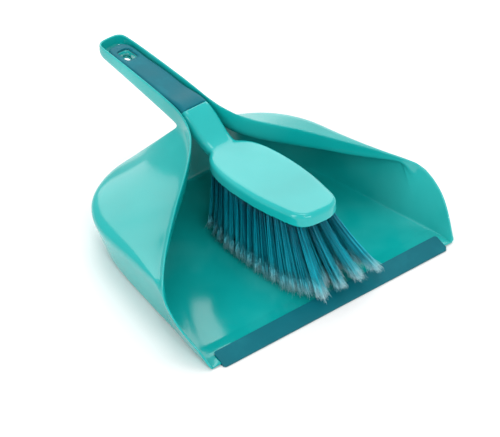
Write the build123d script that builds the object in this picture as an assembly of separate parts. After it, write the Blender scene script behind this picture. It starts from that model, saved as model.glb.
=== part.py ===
"""Dust pan with a soft lip and a hand brush that nests in its handle.

Millimetres. The origin is the middle of the flat underside of the pan, +Z up,
+X to the right, and the lip is at -Y with the handle at +Y.
"""
from build123d import *
import math
import os

# ---------------------------------------------------------------- dimensions
WALL = 2.2                  # moulded wall of the pan
FRONT_Y = -118.0            # front edge of the pan floor
REAR_Y = 121.0              # rear edge of the pan floor
FILL_TOP = 131.0            # any height above the highest rim
FAR = 250.0                 # any distance beyond the pan, for cutters
BASE_FRONT_HALF = 149.5     # half width of the floor at the lip
BASE_SIDE = [(144.3, -75), (136.3, -25)]
BASE_REAR_HALF = 112.0      # half width of the floor at the rear, corner left square
BASE_CORNER = 45.0
FLARE_TOP = 62.0            # height that the flared side walls are drawn to
FLARE_FRONT_HALF = 176.0
FLARE_SIDE = [(172.5, -78), (152.5, -36), (142, 10)]
SHOULDER_CORNER = 60.0
SHOULDER_REAR_HALF = 126.5
SHOULDER_REAR_Y = 139.0
CORNER_LEAN = 0.1           # the sides draw in by this share of a corner before it turns
INSIDE_FRONT_Y = -148.0     # the hollow of the pan runs out through its open front
HOOD_DROP = 2.8             # the hood's lower face lies this far below its upper face
HOOD_OVERLAP = (3.0, 4.0)   # the upstand and the opening over the hood reach this far into it
HOOD_MARGIN = (22.0, 14.0)  # the hood is drawn this far past its shoulder and its foot
UPSTAND_BASE = 45.0         # height that the upstand is drawn from
UPSTAND_END_Y = 100.0       # the upstand ends inside the handle here
THROAT_Y = 88.0             # where the floor of the handle channel starts
THROAT_Z = 20.0             # the way into the channel is open above this height
THROAT_FRONT = 30.0         # the space inside the rim is cut this far to the front
HANDLE_OVERLAP = 6.0        # the handle reaches this far into the hood
HANDLE_BASE = 60.0          # height that the handle is drawn from
HANDLE_HALF_ROOT = 18.2     # half width of the pan handle at its root
HANDLE_HALF_END = 16.0      # and at its end
HANDLE_STRAIGHT_Y = 105.0   # from here on the sides of the handle are straight
HANDLE_TURN_Y = 211.0       # and here its round end starts
HANDLE_END_Y = 224.0
HANDLE_ROUND = 7.0          # rounding along the bottom of the handle
RIM_STEPS = 24              # points that the inside of the rim is laid through
RIM_START = (-0.9, 1)       # direction of the rim in plan at the side of the pan
LIP_HALF = 138.5            # half length of the soft lip
LIP_CORNER = 3.0            # corners of the lip in plan
FRONT_CUT_HEIGHT = 24.0     # of the cutter that makes room for the lip
CREST_Y = -107.0            # crest of the ramp inside the front edge
RAMP_Y = -84.0              # foot of that ramp
GRIP_FRONT_Y = 89.0
GRIP_CORNER = 6.0           # front corners of the soft grip, in plan
HOLE_Y = 193.0              # hanging hole, through both handles
HOLE_SIZE = (13.0, 16.0)
HOLE_ROUND = 4.0
HEAD_TILT = 0.052           # rise of the head towards its front, per unit length
HEAD_TOP = (-25.0, 98.9)    # a point of the flat top of the head, (Y, Z)
HEAD_THICK = 13.5
HEAD_ROUND = 5.0            # rounding of the upper edge of the head
TUFT_ROWS = 15
TUFT_PITCH = 10.5           # about this far apart across the head
TUFT_MARGIN = 6.0           # from the outer tufts to the side of the head
TUFT_FIRST_Y = -87.0
TUFT_LAST_Y = 33.5
TUFT_ROOT = 2.4             # radius of a tuft in its hole
TUFT_TIP = 3.8              # radius of a tuft at its tips
TUFT_DEPTH = 8.0            # depth of a tuft hole
TUFT_MOUTH = 0.2            # the tuft starts to spread this far below the hole
TIP_Z = 3.6                 # height of the tips above the ground
TIP_RISE = 7.0              # the front tips stand this much higher, over the lip
RISE_Y = (-75.0, -103.0)    # where that rise starts and ends
FAN_Y = (-25.0, -87.0)      # the tufts between these lean more and more to the front
FAN_FORWARD = 27.0          # the front row leans this far forward
FAN_OUTWARD = 0.85          # and spreads sideways by this share of its width
SWEEP = (4.0, 19.0)         # all tips are swept to the right by this much, the front ones by more
FAN_CURVES = (1.2, 1.5)     # how the forward and the sideways lean grow
REAR_Y_SPAN = 40.0          # the tufts behind the middle lean back over this length
REAR_BACK = 9.0             # by up to this much
ANCHOR = (4.4, 0.5, 2.4)    # flat wire anchor: across the hole, thickness, height

# Side view, (Y, Z): the rim falls from the end of the handle to the lip
RIM_SIDE = [(-117.5, 3.2), (-110, 15), (-96.5, 28.5), (-78, 43), (-62, 53), (-46, 60), (-22, 71.5),
            (4.5, 85), (23, 96), (50, 106), (67, 112), (90, 117.7), (120, 121.5), (155, 123.5),
            (190, 125), (232, 124.5)]
# Side view of the underside of the pan handle
CHANNEL_SIDE = [(60, 89), (80, 94.5), (90, 96.5), (111, 99.5), (138, 102.5), (158, 105), (199, 109.5),
                (232, 111)]
# Plan of the rim, (X, Y), from the side of the pan to the root of the handle
RIM_PLAN = [(157, -54), (151.2, -46), (128, -22), (96.2, 4.5), (70.8, 23), (48.5, 41), (31.3, 57),
            (22, 78), (HANDLE_HALF_ROOT, HANDLE_STRAIGHT_Y)]
# Shoulder of the hood, and the foot of the upstand that runs along the rim
SHOULDER = [(150, -50, 61), (144, -20, 55), (141, 1, 53.5), (137, 27, 50.5), (135, 50, 48),
            (132, 72, 47), (123, 100, 46), (104, 121, 46), (70, 133, 46), (30, 136, 46), (0, 136, 46)]
UPSTAND_FOOT = [(146, -54, 60), (128, -22, 58), (112, -8, 62), (96, 4.5, 67.5), (83, 14, 71),
                (71, 23, 75), (56, 35, 78.5), (39, 50, 83), (25.6, 66.7, 90), (15, 92, 98), (0, 95, 98)]

# Side view of the ramp that lifts the floor to the lip, with the blade at its front
RAMP_SIDE = [(RAMP_Y, WALL), (CREST_Y, 6.2), (FRONT_Y, 3.3), (FRONT_Y, 1.7), (CREST_Y, 4.0), (RAMP_Y, 0.5)]
# Side view of the soft lip
LIP_SIDE = [(CREST_Y + 1, 8.0), (-123.4, 2.2), (-123.4, 0.4), (-117.5, 0.4), (CREST_Y, WALL),
            (CREST_Y + 1, WALL)]
# Plan of the head, (X, Y), from its blunt front to the neck
HEAD_PLAN = [(0, -100), (13, -98.5), (22.5, -92), (28.2, -75), (32, -52), (34, -15), (32.3, 12),
             (26.5, 34), (17, 46.5), (0, 51)]
# Sections of the neck and handle: Y, middle height, half width, height, tilt, corner radius
HANDLE_SECTIONS = [(41, 88.9, 15.0, 10.8, 6, 4.0), (50, 90.2, 15.6, 11.6, 18, 4.5),
                   (60, 93.5, 16.2, 12.5, 32, 5.5), (74, 101.8, 16.8, 13.4, 30, 5.5),
                   (90, 110.2, 16.0, 15.6, 16, 5.5), (111, 111.5, 15.2, 15.2, 5, 5.0),
                   (138, 113.0, 14.6, 13.8, 4, 4.5), (165, 114.9, 13.8, 12.2, 4, 4.0),
                   (199, 117.2, 12.9, 9.2, 2, 3.0), (207, 117.4, 11.2, 8.4, 0, 3.0),
                   (211.5, 117.4, 7.5, 7.0, 0, 2.5)]
# Side view of the face between the handle and its soft grip
PAD_SEAT = [(GRIP_FRONT_Y, 114.6), (111, 116.2), (138, 117.2), (165, 118.4), (199, 119.2), (220, 119.2)]
PAD_TOP = 160.0             # any height above the grip


def side_prism(outline, half_width):
    """A solid with a constant side view, (Y, Z), from -half_width to +half_width in X."""
    return extrude(Plane.YZ * make_face(outline), amount=half_width, both=True)


def share(value, start, end):
    """How far a value is from start to end, between 0 and 1."""
    return min(max((value - start) / (end - start), 0), 1)


# ----------------------------------------------------------------- pan shell
def above_rim():
    """Everything above the falling rim line."""
    rim = Spline(RIM_SIDE)
    front = RIM_SIDE[0][1]
    frame = Polyline(rim @ 0, (-FAR, front), (-FAR, FAR), (RIM_SIDE[-1][0], FAR), rim @ 1)
    return side_prism([rim, *frame.edges()], FAR)


def tub_outline(front_half, side_points, rear_half, rear_y, corner, front_y, level):
    """A plan outline as a face: straight front, shaped sides, round rear corners."""
    corner_start = (rear_half + CORNER_LEAN * corner, rear_y - corner)
    side = Spline([(front_half, front_y), *side_points, corner_start])
    turn = TangentArc([side @ 1, (rear_half - corner, rear_y)], tangent=side % 1)
    half = [*side.edges(), *turn.edges()]
    other = [edge.mirror(Plane.YZ) for edge in half]
    rear = Line(turn @ 1, (-(rear_half - corner), rear_y))
    front = Line((front_half, front_y), (-front_half, front_y))
    return Pos(0, 0, level) * make_face([*front.edges(), *half, *rear.edges(), *other])


def filled_tub(inset, level, front_y):
    """The pan filled solid under its flared sides, inset from the outer surface."""
    base = tub_outline(BASE_FRONT_HALF - inset, [(x - inset, y) for x, y in BASE_SIDE],
                       BASE_REAR_HALF - inset, REAR_Y - inset, BASE_CORNER - inset, front_y, level)
    top = tub_outline(FLARE_FRONT_HALF - inset, [(x - inset, y) for x, y in FLARE_SIDE],
                      SHOULDER_REAR_HALF - inset, SHOULDER_REAR_Y - inset,
                      SHOULDER_CORNER - inset, front_y, FLARE_TOP)
    flared = loft([base, top], ruled=True)
    return flared + extrude(top, amount=FILL_TOP - FLARE_TOP)


def above_hood(drop):
    """Everything above the hood between its shoulder and the upstand, lowered by drop."""
    outer, inner = [], []
    for shoulder, foot in zip(SHOULDER, UPSTAND_FOOT):
        s, f = Vector(*shoulder), Vector(*foot)
        along = (s - f).normalized()
        outer.append(s + along * HOOD_MARGIN[0] - Vector(0, 0, drop))
        inner.append(f - along * HOOD_MARGIN[1] - Vector(0, 0, drop))
    edges = []
    for points in (outer, inner):
        other_side = [Vector(-p.X, p.Y, p.Z) for p in reversed(points[:-1])]
        edges.append(Spline(points + other_side).edge())
    hood = Face.make_surface_from_curves(edges[0], edges[1])
    return extrude(hood, amount=FAR, dir=(0, 0, 1))


def rim_plan(inset):
    """Plan of what the rim encloses, from the sides of the pan to the end of the handle."""
    full = Spline(RIM_PLAN, tangents=[RIM_START, (0, 1)])
    places = [i / RIM_STEPS for i in range(RIM_STEPS + 1)]
    normals = [(full % place).rotate(Axis.Z, 90) for place in places]
    moved = [full @ place + normal * inset for place, normal in zip(places, normals)]
    half = Spline([(p.X, p.Y) for p in moved], tangents=[RIM_START, (0, 1)])
    side = Line(half @ 1, (HANDLE_HALF_END - inset, HANDLE_TURN_Y))
    end = Spline([side @ 1, (0, HANDLE_END_Y - inset)], tangents=[(0, 1), (-1, 0)])
    edges = [*half.edges(), *side.edges(), *end.edges()]
    other = [edge.mirror(Plane.YZ) for edge in edges]
    start = half @ 0
    front = Line((start.X, start.Y), (-start.X, start.Y))
    return make_face([*front.edges(), *edges, *other])


def inner_rim_plan():
    """What the rim encloses inside its wall, open to the front."""
    half, start_y = RIM_PLAN[0]
    front_width = 2 * (half - WALL) - 1
    front = Pos(0, start_y - THROAT_FRONT / 2 + 1) * Rectangle(front_width, THROAT_FRONT)
    return rim_plan(WALL) + front


def above_channel_floor(lift):
    """Everything above the handle's floor, lifted by this much."""
    floor = Spline([(y, z + lift) for y, z in CHANNEL_SIDE])
    start_y, end_y = CHANNEL_SIDE[0][0], CHANNEL_SIDE[-1][0]
    frame = Polyline(floor @ 0, (start_y, FAR), (end_y, FAR), floor @ 1)
    return side_prism([floor, *frame.edges()], FAR)


def throat():
    """The open way from the pan into the channel."""
    return Pos(0, THROAT_Y - FAR / 2, THROAT_Z + FAR / 2) * Box(2 * FAR, FAR, FAR)


def hanging_hole():
    """The hole through both handles."""
    return Pos(0, HOLE_Y, HANDLE_BASE) * extrude(RectangleRounded(*HOLE_SIZE, HOLE_ROUND), amount=FAR)


def pan_handle():
    """The trough-shaped handle before it is hollowed."""
    front_y = THROAT_Y - HANDLE_OVERLAP
    plan = rim_plan(0) & Pos(0, front_y + FAR / 2) * Rectangle(4 * HANDLE_HALF_END, FAR)
    bar = extrude(Pos(0, 0, HANDLE_BASE) * plan, amount=FILL_TOP - HANDLE_BASE) & above_channel_floor(0)
    bottom = bar.faces().sort_by(Axis.Z)[0]
    lower_edges = [e for e in bottom.edges() if e.center().Y > THROAT_Y]
    return fillet(lower_edges, HANDLE_ROUND)


def front_cut():
    """Clears the flat floor where the blade and the lip take its place."""
    return Pos(0, CREST_Y - FAR / 2, 0) * Box(2 * LIP_HALF, FAR, FRONT_CUT_HEIGHT)


def pan_shell():
    """The moulded pan: floor, flared walls, hood, upstand and trough handle."""
    outside = filled_tub(0, 0, FRONT_Y) - above_hood(0)
    inside = filled_tub(WALL, WALL, INSIDE_FRONT_Y) - above_hood(HOOD_DROP)
    wall_plan = (rim_plan(0) - inner_rim_plan()) & Pos(0, UPSTAND_END_Y - FAR) * Rectangle(2 * FAR, 2 * FAR)
    wall = extrude(Pos(0, 0, UPSTAND_BASE) * wall_plan, amount=FILL_TOP - UPSTAND_BASE)
    upstand = wall & above_hood(HOOD_OVERLAP[0])
    open_plan = Pos(0, 0, UPSTAND_BASE) * inner_rim_plan()
    opening = extrude(open_plan, amount=FILL_TOP) & (above_channel_floor(WALL) + throat())
    shell = outside - inside - (opening & above_hood(HOOD_OVERLAP[1]))
    shell = shell + upstand + (pan_handle() - opening)
    return shell - above_rim() - hanging_hole() - front_cut() + front_ramp()


def front_ramp():
    """The ramp that lifts the floor to the lip, and the blade that the lip is moulded on."""
    return side_prism(Polyline(*RAMP_SIDE, close=True).edges(), LIP_HALF)


def rubber_lip():
    """The soft wiper lip, moulded round the blade."""
    back_y, front_y = LIP_SIDE[0][0], LIP_SIDE[1][0]
    plan = Pos(0, (back_y + front_y) / 2) * RectangleRounded(2 * LIP_HALF, back_y - front_y, LIP_CORNER)
    strip = side_prism(Polyline(*LIP_SIDE, close=True).edges(), LIP_HALF)
    return (strip & extrude(plan, amount=FRONT_CUT_HEIGHT)) - front_ramp()


# --------------------------------------------------------------------- brush
def neck_and_handle():
    """The neck and the handle of the brush, in one smooth run."""
    sections = []
    for y, z, half_width, height, tilt, corner in HANDLE_SECTIONS:
        lean = math.radians(tilt)
        across = Plane(origin=(0, y, z), x_dir=(1, 0, 0), z_dir=(0, math.cos(lean), math.sin(lean)))
        sections.append(across * RectangleRounded(2 * half_width, height, corner))
    return loft(sections)


def head_blank():
    """The brush head: a tilted plate with a rounded upper edge."""
    right_side = HEAD_PLAN[1:-1]
    left_side = [(-x, y) for x, y in reversed(right_side)]
    outline = Spline([HEAD_PLAN[0], *right_side, HEAD_PLAN[-1], *left_side], periodic=True)
    level = Plane(origin=(0, *HEAD_TOP), x_dir=(1, 0, 0), z_dir=(0, HEAD_TILT, 1))
    plan = level * Pos(0, -HEAD_TOP[0], 0) * make_face(outline.edges())
    plate = extrude(plan, amount=-HEAD_THICK)
    upper_edge = plate.edges().filter_by(GeomType.BSPLINE).sort_by(Axis.Z)[-1:]
    return fillet(upper_edge, HEAD_ROUND)


def head_half_width(y):
    """Half width of the head at y."""
    for (x0, y0), (x1, y1) in zip(HEAD_PLAN, HEAD_PLAN[1:]):
        if y0 <= y <= y1:
            return x0 + (x1 - x0) * (y - y0) / (y1 - y0)
    return 0


def under_head(y):
    """Height of the underside of the head at y."""
    return HEAD_TOP[1] - HEAD_THICK - HEAD_TILT * (y - HEAD_TOP[0])


def tuft_line(x, y):
    """Where the tuft rooted at x, y has its tip: the front tufts fan out, swept to the right."""
    front = share(y, *FAN_Y)
    rear = share(y, 0, REAR_Y_SPAN)
    aside = front ** FAN_CURVES[1]
    tip_x = x * (1 + FAN_OUTWARD * aside) + SWEEP[0] + SWEEP[1] * aside
    tip_y = y - FAN_FORWARD * front ** FAN_CURVES[0] + REAR_BACK * rear
    return Vector(tip_x, tip_y, TIP_Z + TIP_RISE * share(tip_y, *RISE_Y))


def tuft_roots(row):
    """Middles of the holes of one row across the head."""
    y = TUFT_FIRST_Y + row * (TUFT_LAST_Y - TUFT_FIRST_Y) / (TUFT_ROWS - 1)
    reach = head_half_width(y) - TUFT_MARGIN
    count = round(2 * reach / TUFT_PITCH) + 1
    return [(-reach + 2 * reach * i / (count - 1), y) for i in range(count)]


def tuft_socket(x, y):
    """The blind hole of one tuft, also the shape of the tuft's root."""
    length = TUFT_DEPTH + TUFT_MOUTH
    hole = Cylinder(TUFT_ROOT, length, align=(Align.CENTER, Align.CENTER, Align.MIN))
    return Pos(x, y, under_head(y) - TUFT_MOUTH) * hole


def anchor_wire(x, y):
    """The flat wire that holds one tuft at the bottom of its hole."""
    return Pos(x, y, under_head(y) + TUFT_DEPTH - ANCHOR[2] / 2) * Box(*ANCHOR)


def tuft(x, y):
    """One tuft: its root in the hole, then the filaments fanning out to their tips."""
    tip = tuft_line(x, y)
    mouth = Pos(x, y, under_head(y) - TUFT_MOUTH) * Circle(TUFT_ROOT)
    spread = loft([mouth, Pos(*tip) * Circle(TUFT_TIP)])
    return tuft_socket(x, y) + spread - anchor_wire(x, y)


def pad_space():
    """The space over the handle that the soft grip takes up, with rounded front corners."""
    seat = Spline(PAD_SEAT)
    end_y = PAD_SEAT[-1][0]
    over = Polyline(seat @ 0, (GRIP_FRONT_Y, PAD_TOP), (end_y, PAD_TOP), seat @ 1)
    width = 2 * max(half_width for _, _, half_width, *_ in HANDLE_SECTIONS) + 1
    plan = Pos(0, GRIP_FRONT_Y + FAR / 2) * RectangleRounded(width, FAR, GRIP_CORNER)
    return side_prism([seat, *over.edges()], width) & extrude(plan, amount=PAD_TOP)


def brush_parts(sockets):
    """The moulded brush body with its tuft holes, and the soft grip of its handle."""
    handle = neck_and_handle() - hanging_hole()
    space = pad_space()
    body = (head_blank() - sockets) + (handle - space)
    return body, handle & space


def write(node, shape):
    """One STEP file for one node."""
    export_step(shape, f"parts/{node}.step")


os.makedirs("parts", exist_ok=True)
write("pan_shell", pan_shell())
write("rubber_lip", rubber_lip())
sockets = []
for row in range(TUFT_ROWS):
    roots = tuft_roots(row)
    tufts = [tuft(x, y) for x, y in roots]
    anchors = [anchor_wire(x, y) for x, y in roots]
    sockets += [tuft_socket(x, y) for x, y in roots]
    write(f"bristle_row_{row + 1:02d}", Compound(children=[t.solid() for t in tufts]))
    write(f"anchor_row_{row + 1:02d}", Compound(children=[w.solid() for w in anchors]))
brush_body, grip_pad = brush_parts(sockets)
write("brush_body", brush_body)
write("grip_pad", grip_pad)
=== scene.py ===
"""Looks of the dust pan and brush set: the moulded pan, the brush and its filaments."""
import math
import random

import bmesh
import bpy
import numpy as np
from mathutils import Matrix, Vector


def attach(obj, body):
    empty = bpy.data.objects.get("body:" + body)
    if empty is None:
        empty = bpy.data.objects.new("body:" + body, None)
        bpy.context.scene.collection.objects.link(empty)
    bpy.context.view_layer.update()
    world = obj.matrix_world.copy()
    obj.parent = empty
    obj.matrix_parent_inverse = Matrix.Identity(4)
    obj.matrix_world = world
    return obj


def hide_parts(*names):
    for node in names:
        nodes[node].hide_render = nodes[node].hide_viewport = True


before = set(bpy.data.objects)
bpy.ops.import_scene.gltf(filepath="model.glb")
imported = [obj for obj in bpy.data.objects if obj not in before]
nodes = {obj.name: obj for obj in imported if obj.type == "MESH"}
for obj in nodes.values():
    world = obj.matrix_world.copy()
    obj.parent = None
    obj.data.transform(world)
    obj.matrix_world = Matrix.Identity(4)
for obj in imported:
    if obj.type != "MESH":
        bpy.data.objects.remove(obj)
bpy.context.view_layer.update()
MM = 0.001

# ------------------------------------------------------------------ the shape, in mm
WALL = 2.2
FLOOR_TURN = 7.0             # width of the turn from the floor up to the walls
FRONT_TURN = 9.0             # the same beside the lip
EAR_SHARE = 0.8              # the floor beside the lip rises by this share of the ramp
RAMP_FOOT_Y = -84.0
RAMP_CREST_Y = -107.0
RAMP_CREST_Z = 6.2
EDGE_Y = -118.0
EDGE_Z = 3.3
RAMP_STATIONS = 6            # the front stations that stand beside the ramp
ACROSS = [0.0, 50.0, 95.0, 120.0, 131.0]  # the ramp's columns, from the middle to the side
SHOULDER_PUSH = 4.0          # the cage stands this far outside the rounded shoulder
SHOULDER_LIFT = 1.0          # and this far above it
SHOULDER_CENTRE = (60.0, 60.0)
BEND_CENTRE = (67.0, 60.0)   # round the rear corner the floor edge faces this point
BEND_STATION = 5             # hood stations after this one, counted from 0, stand on that corner
WALL_SHARES = (0, 0.07, 0.14, 0.21, 0.28, 0.36, 0.44, 0.52, 0.6, 0.7, 0.8, 0.9)
UPSTAND_SHARE = 0.33         # the upstand's second row of points, as a share of its height
FOOT_ABOVE = 8.5             # the upstand turns into the hood within this of its foot
FOOT_AHEAD = 9.0             # and the hood starts to run straight this far from it
REAR_FOOT_AHEAD = 8.0        # the same under the handle
SHOULDER_BEFORE = 14.0       # the shoulder turns over this length of the hood
SHOULDER_AFTER = 13.0        # and this length of the wall
WALL_MIDDLE = 0.52
WALL_LOW = 0.75
BASE_TURN = 6.0              # the wall turns into the floor over this length
RIM_CREASE = 0.45            # how flat the top of the rim stays
MERGE = 0.01                 # points closer than this become one
SUBDIVISIONS = 3
HOLE_Y = 193.0
HOLE_SIZE = (14.0, 19.0)
HOLE_CORNER = 4.0
HOLE_LOW_Z = 95.0
HOLE_TOP_Z = 135.0
HOLE_SEGMENTS = 8            # straight pieces round each corner of the hole

# The side wall in front of the hood: rim (x, y, z) and the edge of the floor (x, y)
FRONT_STATIONS = [
    ((151.8, -118.0, 3.2), (149.5, -118.0)), ((153.6, -113.0, 9.5), (149.0, -113.0)),
    ((156.4, -107.0, 18.0), (148.3, -107.0)), ((159.4, -100.0, 25.3), (147.4, -100.0)),
    ((162.2, -92.0, 32.5), (146.5, -92.0)), ((163.7, -84.0, 38.5), (145.5, -84.0)),
    ((163.8, -74.0, 45.8), (144.0, -75.0)), ((162.3, -63.5, 52.2), (142.3, -65.0)),
    ((158.2, -54.5, 56.8), (140.8, -56.0)),
]
# The hooded part: rim, foot of the upstand, shoulder (x, y, z) and the edge of the floor (x, y)
HOOD_STATIONS = [
    ((151.6, -46.5, 60.0), (150.6, -45.0, 58.6), (149.8, -42.5, 57.6), (139.0, -44.0)),
    ((141.5, -35.5, 65.0), (141.4, -34.5, 58.0), (147.5, -31.0, 56.4), (137.4, -31.0)),
    ((128.0, -22.0, 71.5), (128.0, -21.0, 58.5), (144.6, -12.0, 55.0), (134.6, -12.0)),
    ((112.0, -8.4, 78.2), (112.0, -7.6, 62.0), (141.2, 6.0, 53.2), (131.6, 6.0)),
    ((96.2, 4.5, 85.0), (96.2, 5.2, 67.5), (138.2, 27.0, 50.6), (128.4, 27.0)),
    ((83.0, 14.4, 91.0), (83.0, 15.2, 71.0), (135.2, 50.0, 48.2), (124.0, 50.0)),
    ((70.8, 23.0, 96.0), (70.8, 24.0, 75.0), (132.2, 72.0, 47.0), (119.0, 71.0)),
    ((56.1, 34.6, 100.9), (56.0, 36.0, 78.6), (121.8, 96.0, 46.2), (109.0, 94.0)),
    ((40.2, 48.6, 105.6), (40.0, 50.4, 83.0), (102.5, 118.0, 46.0), (91.0, 114.0)),
    ((28.2, 61.6, 110.6), (28.0, 63.6, 89.0), (70.0, 133.6, 46.0), (66.0, 121.0)),
    ((21.6, 77.0, 115.0), (21.4, 78.4, 96.0), (46.0, 135.6, 46.0), (44.0, 121.0)),
]
# Sections of the trough handle: y, half width, height of the rim, height of the underside
HANDLE_STATIONS = [
    (92.0, 18.7, 118.1, 96.8), (105.0, 18.2, 120.0, 98.7), (125.0, 17.8, 121.9, 101.1),
    (150.0, 17.3, 123.3, 104.1), (175.0, 16.9, 124.4, 106.9), (198.0, 16.4, 125.1, 109.3),
    (211.0, 16.1, 125.1, 110.2),
]
TROUGH_TURN = 6.5            # the side of the trough turns into its bottom over this length
TROUGH_INSET = 1.0           # the turn's outermost point stands in from the side by this much
TROUGH_MID = 12.0            # the bottom's middle row starts this far from the side
TROUGH_SHARES = (0.0, 0.35, 0.7, 1.0)  # rows of the side, from the rim to the turn
# The end of the handle in plan: x, y
HANDLE_END = [(15.2, 219.2), (9.5, 223.6), (0.0, 223.9)]
HANDLE_END_RIM = 125.0
HANDLE_END_ROWS = (122.5, 119.5)
HANDLE_END_UNDER = 110.8
HANDLE_END_TURN = 6.0
HANDLE_END_FOOT = (0.9, -1.6, 0.8)  # the foot of the end: share of x, then how y and z shift
# The rear of the hood under the handle, from beside the handle to the middle
REAR_X = (38.0, 30.0, 20.0, 10.0, 0.0)
REAR_SHOULDER = (139.2, 46.5)  # y and z
REAR_FLOOR_Y = 121.0


# ------------------------------------------------------------------ small helpers
def mesh_piece(name, verts, faces):
    """A smoothly shaded mesh object from points in mm."""
    mesh = bpy.data.meshes.new(name)
    mesh.from_pydata([tuple(c * MM for c in v) for v in verts], [], faces)
    mesh.update()
    mesh.shade_smooth()
    obj = bpy.data.objects.new(name, mesh)
    bpy.context.scene.collection.objects.link(obj)
    return obj


def apply_modifiers(obj):
    """Bakes an object's modifiers into its mesh."""
    deps = bpy.context.evaluated_depsgraph_get()
    mesh = bpy.data.meshes.new_from_object(obj.evaluated_get(deps))
    obj.modifiers.clear()
    obj.data = mesh
    obj.data.shade_smooth()


def lerp(a, b, t):
    """The point a share t of the way from a to b."""
    return tuple(p + (q - p) * t for p, q in zip(a, b))


def toward(a, b, distance):
    """The point this far from a on the way to b, at most half way."""
    length = math.dist(a, b)
    return lerp(a, b, min(distance / length, 0.5))


# ------------------------------------------------------------------ pan shell
def front_column(rim, floor_edge):
    """Outer points of the side wall, from the rim down to the floor, where there is no hood."""
    base = (*floor_edge, 0.0)
    wall = [lerp(rim, base, s) for s in WALL_SHARES]
    return wall + [base]


def hood_and_wall(foot, shoulder, base, foot_ahead):
    """Outer points from the foot of the upstand (left out) over the shoulder to the floor."""
    return [toward(foot, shoulder, foot_ahead), lerp(foot, shoulder, 0.5),
            toward(shoulder, foot, SHOULDER_BEFORE), shoulder, toward(shoulder, base, SHOULDER_AFTER),
            lerp(shoulder, base, WALL_MIDDLE), lerp(shoulder, base, WALL_LOW),
            toward(base, shoulder, BASE_TURN), base]


def hood_column(rim, foot, shoulder, floor_edge):
    """Outer points from the rim down the upstand, over the hood and down the wall."""
    base = (*floor_edge, 0.0)
    away = Vector((shoulder[0] - SHOULDER_CENTRE[0], max(shoulder[1] - SHOULDER_CENTRE[1], 0)))
    away = away.normalized() * SHOULDER_PUSH
    shoulder = (shoulder[0] + away.x, shoulder[1] + away.y, shoulder[2] + SHOULDER_LIFT)
    upstand = [rim, lerp(rim, foot, UPSTAND_SHARE), toward(foot, rim, FOOT_ABOVE), foot]
    return upstand + hood_and_wall(foot, shoulder, base, FOOT_AHEAD)


def ramp_height(y):
    """Height of the underside of the floor near its front edge."""
    if y >= RAMP_FOOT_Y:
        return 0.0
    if y >= RAMP_CREST_Y:
        share = (y - RAMP_FOOT_Y) / (RAMP_CREST_Y - RAMP_FOOT_Y)
        return share * (RAMP_CREST_Z - WALL)
    share = (y - RAMP_CREST_Y) / (EDGE_Y - RAMP_CREST_Y)
    return RAMP_CREST_Z - WALL + share * (EDGE_Z - RAMP_CREST_Z)


class HalfCage:
    """Points and faces of one half of the pan, as a coarse cage to be subdivided.

    A point's key is a letter, then the column or station, then the row. The letters are w for the
    wall and hood, s and b for the side and bottom of the handle, e for its end, m for the rear
    wall under the handle, and f for the ramp.
    """

    def __init__(self):
        self.verts = []
        self.faces = []
        self.keys = {}

    def put(self, key, point):
        """Adds a point under a key."""
        self.keys[key] = len(self.verts)
        self.verts.append(point)

    def quad(self, *keys):
        """Adds the face between four points, of which two may be the same one."""
        corners = []
        for key in keys:
            index = self.keys[key]
            if index not in corners:
                corners.append(index)
        if len(corners) > 2:
            self.faces.append(corners)

    def same(self, key, other):
        """Gives a point a second key."""
        self.keys[key] = self.keys[other]


def handle_section(y, half, rim_z, under_z):
    """Side of the trough from the rim to where its bottom turns in, then the bottom."""
    turn = under_z + TROUGH_TURN
    side = [(half, y, rim_z - share * (rim_z - turn)) for share in TROUGH_SHARES]
    bottom = [(half - TROUGH_INSET, y, under_z + TROUGH_INSET), (half - TROUGH_TURN, y, under_z),
              (half - TROUGH_MID, y, under_z), (0.0, y, under_z)]
    return side, bottom


def add_columns(cage):
    """Wall, hood and upstand, station by station, and the faces between the stations."""
    columns = [front_column(*s) for s in FRONT_STATIONS] + [hood_column(*s) for s in HOOD_STATIONS]
    rows = len(columns[0])
    for k, column in enumerate(columns):
        for r, point in enumerate(column):
            cage.put(("w", k, r), point)
        x, y, _ = column[-1]
        inward = (-1, 0)
        if k > len(FRONT_STATIONS) + BEND_STATION:
            inward = (BEND_CENTRE[0] - x, BEND_CENTRE[1] - y)
        turn = FRONT_TURN if k < len(FRONT_STATIONS) else FLOOR_TURN
        scale = turn / math.hypot(*inward)
        lift = ramp_height(y) * EAR_SHARE
        cage.put(("w", k, rows), (x + inward[0] * scale, y + inward[1] * scale, lift))
    for k in range(len(columns) - 1):
        for r in range(rows):
            cage.quad(("w", k, r), ("w", k, r + 1), ("w", k + 1, r + 1), ("w", k + 1, r))
    return len(columns), rows


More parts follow.
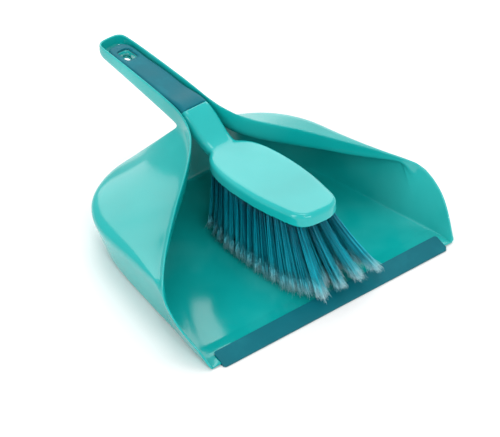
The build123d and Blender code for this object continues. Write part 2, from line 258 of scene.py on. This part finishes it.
def add_handle(cage):
    """The trough handle, whose side goes on from the upstand."""
    for j, station in enumerate(HANDLE_STATIONS):
        side, bottom = handle_section(*station)
        for r, point in enumerate(side):
            cage.put(("s", j, r), point)
        for r, point in enumerate(bottom):
            cage.put(("b", j, r), point)
        cage.same(("b", j, -1), ("s", j, 3))
    last = len(HANDLE_STATIONS) - 1
    for j in range(last):
        for r in range(3):
            cage.quad(("s", j, r), ("s", j, r + 1), ("s", j + 1, r + 1), ("s", j + 1, r))
        for r in range(-1, 3):
            cage.quad(("b", j, r), ("b", j, r + 1), ("b", j + 1, r + 1), ("b", j + 1, r))
    for r in range(4):
        cage.same(("e", 0, r), ("s", last, r))
    cage.same(("e", 0, 4), ("b", last, 0))
    foot_share, foot_back, foot_lift = HANDLE_END_FOOT
    for i, (x, y) in enumerate(HANDLE_END, start=1):
        turn = HANDLE_END_UNDER + HANDLE_END_TURN
        for r, z in enumerate((HANDLE_END_RIM, *HANDLE_END_ROWS, turn)):
            cage.put(("e", i, r), (x, y, z))
        cage.put(("e", i, 4), (x * foot_share, y + foot_back, HANDLE_END_UNDER + foot_lift))
    for i in range(len(HANDLE_END)):
        for r in range(4):
            cage.quad(("e", i, r), ("e", i, r + 1), ("e", i + 1, r + 1), ("e", i + 1, r))
        cage.quad(("e", i, 4), ("b", last, i), ("b", last, i + 1), ("e", i + 1, 4))


def add_rear(cage, count, rows):
    """The rear wall and the slope under the handle, which close the hood at the middle."""
    first = count - 1
    tops = [("s", 0, 3), ("b", 0, 0), ("b", 0, 1), ("b", 0, 2), ("b", 0, 3)]
    for r in range(4):
        cage.same(("m", 0, r), ("s", 0, r))
    for i, (x, top) in enumerate(zip(REAR_X, tops)):
        foot = cage.verts[cage.keys[top]]
        base = (x, REAR_FLOOR_Y, 0.0)
        points = hood_and_wall(foot, (x, *REAR_SHOULDER), base, REAR_FOOT_AHEAD)
        points.append((x, REAR_FLOOR_Y - FLOOR_TURN, 0.0))
        cage.same(("m", i, 3), top)
        for r, point in enumerate(points, start=4):
            cage.put(("m", i, r), point)
    for r in range(rows):
        cage.quad(("w", first, r), ("w", first, r + 1), ("m", 0, r + 1), ("m", 0, r))
    for i in range(len(tops) - 1):
        for r in range(3, rows):
            cage.quad(("m", i, r), ("m", i, r + 1), ("m", i + 1, r + 1), ("m", i + 1, r))
    return [("m", i, rows) for i in range(len(tops))]


def add_floor(cage, count, rows, rear_ring):
    """The ramp behind the lip, and the flat floor as one face."""
    for k in range(RAMP_STATIONS):
        y = FRONT_STATIONS[k][1][1]
        for c, x in enumerate(ACROSS):
            cage.put(("f", k, c), (x, y, ramp_height(y)))
        cage.same(("f", k, len(ACROSS)), ("w", k, rows))
    last = RAMP_STATIONS - 1
    for k in range(last):
        for c in range(len(ACROSS)):
            cage.quad(("f", k, c), ("f", k, c + 1), ("f", k + 1, c + 1), ("f", k + 1, c))
    ring = [("f", last, c) for c in range(len(ACROSS) + 1)]
    ring += [("w", k, rows) for k in range(last + 1, count)]
    ring += rear_ring
    corners = []
    for key in ring:
        if cage.keys[key] not in corners:
            corners.append(cage.keys[key])
    cage.faces.append(corners[::-1])


def rounded_prism(name, width, length, corner, y, low, high):
    """A closed upright bar with rounded corners, used as a cutter."""
    outline = []
    segments = HOLE_SEGMENTS
    for quadrant in range(4):
        cx = (width / 2 - corner) * (1, -1, -1, 1)[quadrant]
        cy = (length / 2 - corner) * (1, 1, -1, -1)[quadrant]
        for s in range(segments + 1):
            angle = math.pi / 2 * (quadrant + s / segments)
            outline.append((cx + corner * math.cos(angle), y + cy + corner * math.sin(angle)))
    count = len(outline)
    verts = [(x, yy, low) for x, yy in outline] + [(x, yy, high) for x, yy in outline]
    faces = [(i, (i + 1) % count, count + (i + 1) % count, count + i) for i in range(count)]
    faces += [tuple(reversed(range(count))), tuple(range(count, 2 * count))]
    return mesh_piece(name, verts, faces)


def cut_hole(obj):
    """Cuts the upright hanging hole through an object."""
    cutter = rounded_prism("cutter", *HOLE_SIZE, HOLE_CORNER, HOLE_Y, HOLE_LOW_Z, HOLE_TOP_Z)
    cut = obj.modifiers.new("hole", "BOOLEAN")
    cut.object = cutter
    cut.operation = "DIFFERENCE"
    cut.solver = "EXACT"
    apply_modifiers(obj)
    bpy.data.objects.remove(cutter)


def pan_piece():
    """The whole moulded pan as one even, rounded shell."""
    cage = HalfCage()
    count, rows = add_columns(cage)
    add_handle(cage)
    rear_ring = add_rear(cage, count, rows)
    add_floor(cage, count, rows, rear_ring)
    obj = mesh_piece("pan_moulding", cage.verts, cage.faces)
    work = bmesh.new()
    work.from_mesh(obj.data)
    geometry = work.verts[:] + work.edges[:] + work.faces[:]
    bmesh.ops.mirror(work, geom=geometry, axis="X", merge_dist=MERGE * MM)
    bmesh.ops.remove_doubles(work, verts=work.verts[:], dist=MERGE * MM)
    bmesh.ops.recalc_face_normals(work, faces=work.faces[:])
    floor = min(work.faces, key=lambda f: abs(f.calc_center_median().z))
    if floor.normal.z > 0:
        bmesh.ops.reverse_faces(work, faces=work.faces[:])
    work.to_mesh(obj.data)
    work.free()
    skin = obj.modifiers.new("wall", "SOLIDIFY")
    skin.thickness = WALL * MM
    skin.offset = -1
    skin.use_even_offset = True
    skin.thickness_clamp = 0
    skin.edge_crease_rim = RIM_CREASE
    fine = obj.modifiers.new("round", "SUBSURF")
    fine.levels = SUBDIVISIONS
    fine.render_levels = SUBDIVISIONS
    apply_modifiers(obj)
    cut_hole(obj)
    return obj


# ------------------------------------------------------------------ brush body
BODY_GRAIN = 0.9             # size of the even mesh of the brush body
BLEND_Y = (34.0, 64.0)       # the neck flows into the head between these
BLEND_Z = 92.0               # on the upper side only
EVEN_PASSES = 5
BLEND_PASSES = 45
BLEND_RISE = 2               # the blend is at full strength within half of its length
SMOOTH_FACTOR = 0.5


def body_piece(node):
    """The brush body as one even mesh whose neck flows into the head."""
    obj = bpy.data.objects.new("brush_moulding", node.data.copy())
    bpy.context.scene.collection.objects.link(obj)
    even = obj.modifiers.new("even", "REMESH")
    even.mode = "VOXEL"
    even.voxel_size = BODY_GRAIN * MM
    apply_modifiers(obj)
    blend = obj.vertex_groups.new(name="blend")
    middle = sum(BLEND_Y) / 2
    reach = (BLEND_Y[1] - BLEND_Y[0]) / 2
    for v in obj.data.vertices:
        near = 1 - abs(v.co.y / MM - middle) / reach
        if near > 0 and v.co.z / MM > BLEND_Z:
            blend.add([v.index], min(BLEND_RISE * near, 1), "REPLACE")
    for label, passes, group in (("calm", EVEN_PASSES, ""), ("flow", BLEND_PASSES, "blend")):
        calm = obj.modifiers.new(label, "SMOOTH")
        calm.factor = SMOOTH_FACTOR
        calm.iterations = passes
        calm.vertex_group = group
    apply_modifiers(obj)
    cut_hole(obj)
    return obj


def grip_piece(node):
    """The soft grip with its hanging hole opened to the full size."""
    obj = bpy.data.objects.new("soft_grip", node.data.copy())
    bpy.context.scene.collection.objects.link(obj)
    cut_hole(obj)
    return obj


# ------------------------------------------------------------------ bristles
FILAMENTS = 100              # filaments that show in each tuft
CLUMPS = 10                  # filaments of a tuft cling together in this many clumps
FILAMENT_R = 0.22
FILAMENT_STEPS = 6
FLAG_R = 0.13
FLAGS = 3                    # split ends of each filament
MOUTH_R = 2.9                # half width of a tuft where it leaves its hole
SPLAY_R = 5.9                # half width of a tuft at its tips
CLING_R = 0.75               # half width of a clump at its tips
TURN = 2.39996               # golden angle in radians, for an even spread over a disc
TUFT_MOUTH_DROP = 8.4        # the tuft leaves its hole this far below its root
TIP_GAP = 0.8                # the lowest tips stay this far above the pan
LIP_RISE = 1.5               # height of the lip above the crest of the ramp
FRONT_LIMIT = -121.0         # no filament reaches further to the front
TUBE_SIDES = 3
TUBE_SIDE_GUIDE = (0.3, 1.0, 0.1)  # not along any filament
END_DEPTH = 0.3              # points this close to the end of a tuft's solid belong to that end
FLAG_TAPER = (1.3, 1.0, 0.5)  # radii of a split end, as shares of FLAG_R
# Spreads of the random draws: lengths in mm, tones as shares from dark to light
TUFT_TONE = 0.12
CLUMP_TURN = 0.3
CLUMP_SHORT = 3.0
CLUMP_TONE = 0.12
ROOT_STRAY = 0.35
TIP_SHORT = 1.2
BEND_STRAY = 0.5
BEND_SHARE = 0.10            # how far the middle bows away from the tip
FILAMENT_TONE = 0.22
SPLIT_PLACE = (0.76, 0.86)   # the filament splits between these shares of its length
FLAG_LEAN = (0.07, 0.07, 0.04)
FLAG_REACH = (0.8, 1.05)
FLAG_TONE = 0.12
FLAG_BOW = (0.6, 1.5)        # how much of the lean shows at the middle and at the end
SEED = 100


def pan_top(y):
    """Height of the pan's floor and lip under the brush."""
    if y > RAMP_FOOT_Y:
        return WALL
    if y > RAMP_CREST_Y:
        return WALL + (RAMP_CREST_Z - WALL) * (RAMP_FOOT_Y - y) / (RAMP_FOOT_Y - RAMP_CREST_Y)
    return RAMP_CREST_Z + LIP_RISE


def tuft_lines(node):
    """Mouth and tip of each tuft of a node, in mm, from the frame's own solids."""
    mesh = node.data
    points = {}
    for v in mesh.vertices:
        points.setdefault(tuple(round(c / MM, 2) for c in v.co), []).append(v.index)
    index = {}
    for i, group in enumerate(points.values()):
        for v in group:
            index[v] = i
    places = list(points)
    parent = list(range(len(places)))

    def find(a):
        while parent[a] != a:
            parent[a] = parent[parent[a]]
            a = parent[a]
        return a

    for edge in mesh.edges:
        parent[find(index[edge.vertices[0]])] = find(index[edge.vertices[1]])
    groups = {}
    for i, place in enumerate(places):
        groups.setdefault(find(i), []).append(place)
    lines = []
    for group in groups.values():
        high = max(p[2] for p in group)
        low = min(p[2] for p in group)
        top = [p for p in group if p[2] > high - END_DEPTH]
        bottom = [p for p in group if p[2] < low + END_DEPTH]
        mouth = np.mean([max(top)[:2], min(top)[:2]], axis=0)
        tip = np.mean([(p[0], p[1]) for p in bottom], axis=0)
        lines.append(((mouth[0], mouth[1], high - TUFT_MOUTH_DROP), (tip[0], tip[1], low)))
    return sorted(lines)


def tube(verts, faces, facts, path, radii, along, tone):
    """Adds a thin tube along a path, with its place and tone on each point."""
    start = len(verts)
    sides = TUBE_SIDES
    for i, point in enumerate(path):
        ahead = Vector(path[min(i + 1, len(path) - 1)]) - Vector(path[max(i - 1, 0)])
        side = ahead.cross(Vector(TUBE_SIDE_GUIDE)).normalized()
        other = ahead.cross(side).normalized()
        for s in range(sides):
            angle = 2 * math.pi * s / sides
            offset = side * math.cos(angle) * radii[i] + other * math.sin(angle) * radii[i]
            verts.append(tuple(Vector(point) + offset))
            facts.append((along[i], tone))
    for i in range(len(path) - 1):
        for s in range(sides):
            a = start + i * sides + s
            b = start + i * sides + (s + 1) % sides
            faces.append((a, b, b + sides, a + sides))
    faces.append(tuple(start + s for s in reversed(range(sides))))
    faces.append(tuple(start + (len(path) - 1) * sides + s for s in range(sides)))


def kept_inside(point):
    """The point, kept above the pan and behind the front edge of the lip."""
    point.y = max(point.y, FRONT_LIMIT)
    point.z = max(point.z, pan_top(point.y) + TIP_GAP)
    return point


def stray(draw, spreads):
    """A random offset with these spreads along x, y and perhaps z."""
    return Vector([draw.gauss(0, spread) for spread in spreads]).to_3d()


def within(tone):
    """The tone, kept from 0 to 1."""
    return min(max(tone, 0), 1)


def tuft_filaments(verts, faces, facts, mouth, tip, draw):
    """All filaments of one tuft, splayed from its hole in clumps, with split pale ends."""
    mouth = Vector(mouth)
    tip = Vector(tip)
    tuft_tone = draw.uniform(-TUFT_TONE, TUFT_TONE)
    clumps = []
    for c in range(CLUMPS):
        reach = math.sqrt((c + 0.5) / CLUMPS)
        angle = c * TURN + draw.uniform(-CLUMP_TURN, CLUMP_TURN)
        outward = Vector((math.cos(angle), math.sin(angle), 0)) * reach
        clumps.append((outward, abs(draw.gauss(0, CLUMP_SHORT)), draw.gauss(0, CLUMP_TONE)))
    for n in range(FILAMENTS):
        outward, short, clump_tone = clumps[n % CLUMPS]
        root = mouth + outward * MOUTH_R + stray(draw, (ROOT_STRAY, ROOT_STRAY))
        apart = stray(draw, (CLING_R, CLING_R))
        apart.z = short + abs(draw.gauss(0, TIP_SHORT))
        end = kept_inside(tip + outward * SPLAY_R + apart)
        bend = root.lerp(end, 0.5) + stray(draw, (BEND_STRAY, BEND_STRAY))
        bend.x += (root.x - end.x) * BEND_SHARE
        bend.y += (root.y - end.y) * BEND_SHARE
        tone = within(0.5 + tuft_tone + clump_tone + draw.gauss(0, FILAMENT_TONE))
        stop = draw.uniform(*SPLIT_PLACE)
        path = []
        along = []
        for i in range(FILAMENT_STEPS + 1):
            t = stop * i / FILAMENT_STEPS
            path.append(tuple(root * (1 - t) ** 2 + bend * 2 * t * (1 - t) + end * t ** 2))
            along.append(t)
        tube(verts, faces, facts, path, [FILAMENT_R] * len(path), along, tone)
        split = Vector(path[-1])
        onward = (split - Vector(path[-2])).normalized()
        left = (end - split).length
        for _ in range(FLAGS):
            lean = stray(draw, FLAG_LEAN)
            length = left * draw.uniform(*FLAG_REACH)
            middle = split + (onward + lean * FLAG_BOW[0]) * length * 0.5
            last = kept_inside(split + (onward + lean * FLAG_BOW[1]) * length)
            tube(verts, faces, facts, [tuple(split), tuple(middle), tuple(last)],
                 [FLAG_R * share for share in FLAG_TAPER], [stop, 0.5 + stop / 2, 1.0],
                 within(tone + draw.gauss(0, FLAG_TONE)))


def bristle_piece(name, node, seed):
    """One row of tufts as real filaments."""
    draw = random.Random(seed)
    verts = []
    faces = []
    facts = []
    for mouth, tip in tuft_lines(node):
        tuft_filaments(verts, faces, facts, mouth, tip, draw)
    obj = mesh_piece(name, verts, faces)
    for i, label in enumerate(("along", "tone")):
        layer = obj.data.attributes.new(label, "FLOAT", "POINT")
        layer.data.foreach_set("value", [f[i] for f in facts])
    return obj


# ------------------------------------------------------------------ materials
# Filament colours from the head (0) to the tips (1): the darkest and the palest filaments. The
# darkening towards the head is painted shade deep in the tufts; the pale tips are the split ends.
DARK_FILAMENT_SHADED_ROOT = [(0.0, (0.0, 0.06, 0.10)), (0.35, (0.0, 0.13, 0.20)), (0.74, (0.0, 0.26, 0.36)),
                 (0.86, (0.02, 0.45, 0.55)), (1.0, (0.30, 0.72, 0.80))]
LIGHT_FILAMENT_SHADED_ROOT = [(0.0, (0.0, 0.26, 0.36)), (0.4, (0.0, 0.50, 0.64)), (0.72, (0.02, 0.64, 0.78)),
                  (0.85, (0.20, 0.78, 0.88)), (1.0, (0.76, 0.95, 0.98))]
STREAK = (0.0, 0.05, 0.10)
# Brass, from its dark to its light grain
BRASS_DARK = (0.50, 0.36, 0.14)
BRASS_LIGHT = (0.78, 0.62, 0.32)
# Plastics: colour, paler and deeper
PAN_COLOURS = ((0.004, 0.40, 0.385), (0.030, 0.47, 0.45), (0.002, 0.36, 0.345))
BRUSH_COLOURS = ((0.010, 0.43, 0.42), (0.045, 0.50, 0.49), (0.005, 0.38, 0.37))
# Rubbers: colour and paler, then how fine the grain is, then the roughness
LIP_LOOK = ((0.0, 0.125, 0.165), (0.004, 0.17, 0.21), 1400.0, 0.42)
GRIP_LOOK = ((0.0, 0.140, 0.185), (0.008, 0.20, 0.25), 1700.0, 0.50)


def new_material(name):
    """An empty node material with its surface shader."""
    material = bpy.data.materials.new(name)
    material.use_nodes = True
    tree = material.node_tree
    return material, tree, tree.nodes["Principled BSDF"]


def noise(tree, scale, detail=3.0, rough=0.5):
    """A noise texture in object space."""
    node = tree.nodes.new("ShaderNodeTexNoise")
    node.inputs["Scale"].default_value = scale
    node.inputs["Detail"].default_value = detail
    node.inputs["Roughness"].default_value = rough
    where = tree.nodes.new("ShaderNodeTexCoord")
    tree.links.new(where.outputs["Object"], node.inputs["Vector"])
    return node.outputs["Fac"]


def ramp(tree, value, stops):
    """A colour ramp through (place, colour) stops."""
    node = tree.nodes.new("ShaderNodeValToRGB")
    elements = node.color_ramp.elements
    for element, (place, colour) in zip(elements, (stops[0], stops[-1])):
        element.position = place
        element.color = (*colour, 1)
    for place, colour in stops[1:-1]:
        element = elements.new(place)
        element.color = (*colour, 1)
    tree.links.new(value, node.inputs["Fac"])
    return node.outputs["Color"]


def fit(tree, value, old, new):
    """Maps a value from its old range, as (low, high), to a new one."""
    node = tree.nodes.new("ShaderNodeMapRange")
    node.inputs["From Min"].default_value = old[0]
    node.inputs["From Max"].default_value = old[1]
    node.inputs["To Min"].default_value = new[0]
    node.inputs["To Max"].default_value = new[1]
    tree.links.new(value, node.inputs["Value"])
    return node.outputs["Result"]


def mix(tree, share, a, b):
    """Mixes two colours, each a socket or a tuple, by the share that a socket gives."""
    node = tree.nodes.new("ShaderNodeMix")
    node.data_type = "RGBA"
    for socket, value in ((node.inputs[0], share), (node.inputs[6], a), (node.inputs[7], b)):
        if isinstance(value, tuple):
            socket.default_value = (*value, 1)
        else:
            tree.links.new(value, socket)
    return node.outputs[2]


def bump(tree, shader, height, strength, distance, under=None):
    """Adds a bump to a shader, over another one if given."""
    node = tree.nodes.new("ShaderNodeBump")
    node.inputs["Strength"].default_value = strength
    node.inputs["Distance"].default_value = distance
    tree.links.new(height, node.inputs["Height"])
    if under is not None:
        tree.links.new(under, node.inputs["Normal"])
    tree.links.new(node.outputs["Normal"], shader.inputs["Normal"])
    return node.outputs["Normal"]


def edge_wear(tree, low, high):
    """A mask that is 1 on worn convex edges."""
    geometry = tree.nodes.new("ShaderNodeNewGeometry")
    return fit(tree, geometry.outputs["Pointiness"], (low, high), (0, 1))


def gloss_plastic(name, colour, pale, deep):
    """Glossy moulded polypropylene: slight flow marks, orange peel, paler rubbed edges."""
    material, tree, shader = new_material(name)
    cloud = noise(tree, scale=9.0, detail=3.0)
    body = ramp(tree, cloud, [(0.32, deep), (0.5, colour), (0.7, pale)])
    speck = noise(tree, scale=900.0, detail=2.0)
    body = mix(tree, fit(tree, speck, (0.6, 0.8), (0.0, 0.10)), body, pale)
    worn = edge_wear(tree, 0.54, 0.62)
    body = mix(tree, fit(tree, worn, (0, 1), (0, 0.35)), body, pale)
    tree.links.new(body, shader.inputs["Base Color"])
    smudge = noise(tree, scale=34.0, detail=5.0, rough=0.62)
    tree.links.new(fit(tree, smudge, (0.3, 0.75), (0.09, 0.17)), shader.inputs["Roughness"])
    shader.inputs["IOR"].default_value = 1.49
    shader.inputs["Specular IOR Level"].default_value = 0.5
    peel = bump(tree, shader, noise(tree, scale=260.0, detail=2.0), 0.05, 0.0004)
    bump(tree, shader, noise(tree, scale=22.0, detail=1.0), 0.10, 0.0012, peel)
    return material


def soft_rubber(name, colour, pale, grain, roughness):
    """Thermoplastic rubber with a fine moulded grain and a dusty sheen."""
    material, tree, shader = new_material(name)
    cloud = noise(tree, scale=24.0, detail=4.0, rough=0.6)
    body = ramp(tree, cloud, [(0.3, tuple(c * 0.88 for c in colour)), (0.55, colour), (0.8, pale)])
    dust = noise(tree, scale=420.0, detail=5.0, rough=0.7)
    body = mix(tree, fit(tree, dust, (0.56, 0.74), (0.0, 0.16)), body, pale)
    worn = edge_wear(tree, 0.54, 0.63)
    body = mix(tree, fit(tree, worn, (0, 1), (0, 0.35)), body, pale)
    tree.links.new(body, shader.inputs["Base Color"])
    matt = fit(tree, cloud, (0.3, 0.7), (roughness - 0.06, roughness + 0.08))
    tree.links.new(matt, shader.inputs["Roughness"])
    shader.inputs["Specular IOR Level"].default_value = 0.15
    shader.inputs["Sheen Weight"].default_value = 0.03
    shader.inputs["Sheen Roughness"].default_value = 0.4
    first = bump(tree, shader, noise(tree, scale=grain, detail=2.0), 0.25, 0.00012)
    bump(tree, shader, noise(tree, scale=grain * 3.1, detail=1.0), 0.15, 0.00006, first)
    return material


def filament_material():
    """Blue filament with painted shade darkening it towards the head, pale at the split ends."""
    material, tree, shader = new_material("flagged_filament")
    along = tree.nodes.new("ShaderNodeAttribute")
    along.attribute_name = "along"
    tone = tree.nodes.new("ShaderNodeAttribute")
    tone.attribute_name = "tone"
    # the ramps along each filament paint shade near the head, where the tufts crowd together
    dark = ramp(tree, along.outputs["Fac"], DARK_FILAMENT_SHADED_ROOT)
    light = ramp(tree, along.outputs["Fac"], LIGHT_FILAMENT_SHADED_ROOT)
    body = mix(tree, fit(tree, tone.outputs["Fac"], (0.15, 0.85), (0, 1)), dark, light)
    streak = noise(tree, scale=1500.0, detail=1.0)
    body = mix(tree, fit(tree, streak, (0.4, 0.7), (0, 0.15)), body, STREAK)
    tree.links.new(body, shader.inputs["Base Color"])
    tree.links.new(fit(tree, streak, (0.3, 0.7), (0.26, 0.42)), shader.inputs["Roughness"])
    shader.inputs["Specular IOR Level"].default_value = 0.2
    bump(tree, shader, noise(tree, scale=2500.0, detail=1.0), 0.1, 0.00005)
    return material


def wire_material():
    """Drawn flat brass wire."""
    material, tree, shader = new_material("drawn_wire")
    grain = noise(tree, scale=1800.0, detail=3.0)
    brass = ramp(tree, grain, [(0.3, BRASS_DARK), (0.7, BRASS_LIGHT)])
    tree.links.new(brass, shader.inputs["Base Color"])
    tree.links.new(fit(tree, grain, (0.3, 0.7), (0.25, 0.45)), shader.inputs["Roughness"])
    shader.inputs["Metallic"].default_value = 1.0
    bump(tree, shader, grain, 0.2, 0.00004)
    return material


def give(obj, material):
    """Puts one material in every slot of an object."""
    if not obj.material_slots:
        obj.data.materials.append(material)
    for slot in obj.material_slots:
        slot.material = material


# ------------------------------------------------------------------ build the pieces
PAN = gloss_plastic("pan_polypropylene", *PAN_COLOURS)
BRUSH = gloss_plastic("brush_polypropylene", *BRUSH_COLOURS)
LIP = soft_rubber("lip_soft_rubber", *LIP_LOOK)
GRIP = soft_rubber("grip_soft_rubber", *GRIP_LOOK)
FILAMENT = filament_material()
WIRE = wire_material()

give(nodes["rubber_lip"], LIP)

body = body_piece(nodes["brush_body"])
give(body, BRUSH)
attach(body, "brush")
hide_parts("brush_body")

grip = grip_piece(nodes["grip_pad"])
give(grip, GRIP)
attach(grip, "brush")
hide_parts("grip_pad")

pan = pan_piece()
give(pan, PAN)
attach(pan, "pan")
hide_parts("pan_shell")

for name in sorted(n for n in nodes if n.startswith("bristle_row_")):
    number = int(name[-2:])
    piece = bristle_piece(f"filaments_{number:02d}", nodes[name], SEED + number)
    give(piece, FILAMENT)
    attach(piece, "brush")
    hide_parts(name)
for name in sorted(n for n in nodes if n.startswith("anchor_row_")):
    give(nodes[name], WIRE)


# ------------------------------------------------------------------ floor, light, camera
FLOOR_HALF = 6000.0          # half width of the floor, in mm
FLOOR_DARK = (0.90, 0.90, 0.90)
FLOOR_LIGHT = (0.92, 0.92, 0.92)
WORLD_STRENGTH = 0.72
# From here on in metres and watts
LIGHT_AIM = (0, 0, 0.05)
# Soft boxes: name, place, width and height, power
SOFT_BOXES = [
    ("back_panel", (1.15, 1.38, 1.25), (2.6, 1.6), 27),
    ("top_box", (0.1, 0.3, 1.8), (0.8, 0.8), 6),
    ("left_box", (-1.5, 0.1, 0.8), (0.4, 1.0), 6),
    ("front_fill", (-0.5, -1.9, 1.2), (1.2, 0.8), 14),
    ("glint", (-0.9, -1.3, 2.0), (0.16, 0.16), 4),
]
CAMERA_AIM = (-0.0292, -0.0284, 0.0650)
CAMERA_DISTANCE = 3.7736
CAMERA_AZIMUTH = -39.8       # degrees, towards the left of the front
CAMERA_ELEVATION = 37.5
LENS = 288
SENSOR = 36
CLIP_END = 30


def stage_floor():
    """A plain pale floor."""
    corners = [(x * FLOOR_HALF, y * FLOOR_HALF, 0) for x, y in ((-1, -1), (1, -1), (1, 1), (-1, 1))]
    floor = mesh_piece("studio_floor", corners, [(0, 1, 2, 3)])
    material, tree, shader = new_material("pale_floor")
    tone = ramp(tree, noise(tree, scale=3.0), [(0.3, FLOOR_DARK), (0.7, FLOOR_LIGHT)])
    tree.links.new(tone, shader.inputs["Base Color"])
    shader.inputs["Roughness"].default_value = 0.8
    shader.inputs["Specular IOR Level"].default_value = 0.1
    give(floor, material)


def soft_box(name, place, size, power):
    """A white rectangular light that points at the object."""
    data = bpy.data.lights.new(name, "AREA")
    data.shape = "RECTANGLE"
    data.size, data.size_y = size
    data.energy = power
    light = bpy.data.objects.new(name, data)
    bpy.context.scene.collection.objects.link(light)
    light.location = place
    light.rotation_euler = (Vector(LIGHT_AIM) - Vector(place)).to_track_quat("-Z", "Y").to_euler()


def studio():
    """White surroundings and five soft boxes, the largest behind the object."""
    view = bpy.context.scene.view_settings
    view.view_transform = "Standard"
    world = bpy.data.worlds.new("studio")
    bpy.context.scene.world = world
    world.use_nodes = True
    background = world.node_tree.nodes["Background"]
    background.inputs["Color"].default_value = (1, 1, 1, 1)
    background.inputs["Strength"].default_value = WORLD_STRENGTH
    for box in SOFT_BOXES:
        soft_box(*box)


def camera():
    """A long lens looking down across the lip from the front left."""
    azimuth = math.radians(CAMERA_AZIMUTH)
    elevation = math.radians(CAMERA_ELEVATION)
    back = Vector((math.sin(azimuth) * math.cos(elevation), -math.cos(azimuth) * math.cos(elevation),
                   math.sin(elevation)))
    data = bpy.data.cameras.new("camera")
    data.sensor_width = SENSOR
    data.lens = LENS
    data.clip_end = CLIP_END
    obj = bpy.data.objects.new("camera", data)
    bpy.context.scene.collection.objects.link(obj)
    obj.location = Vector(CAMERA_AIM) + back * CAMERA_DISTANCE
    obj.rotation_euler = back.to_track_quat("Z", "Y").to_euler()
    bpy.context.scene.camera = obj


stage_floor()
studio()
camera()
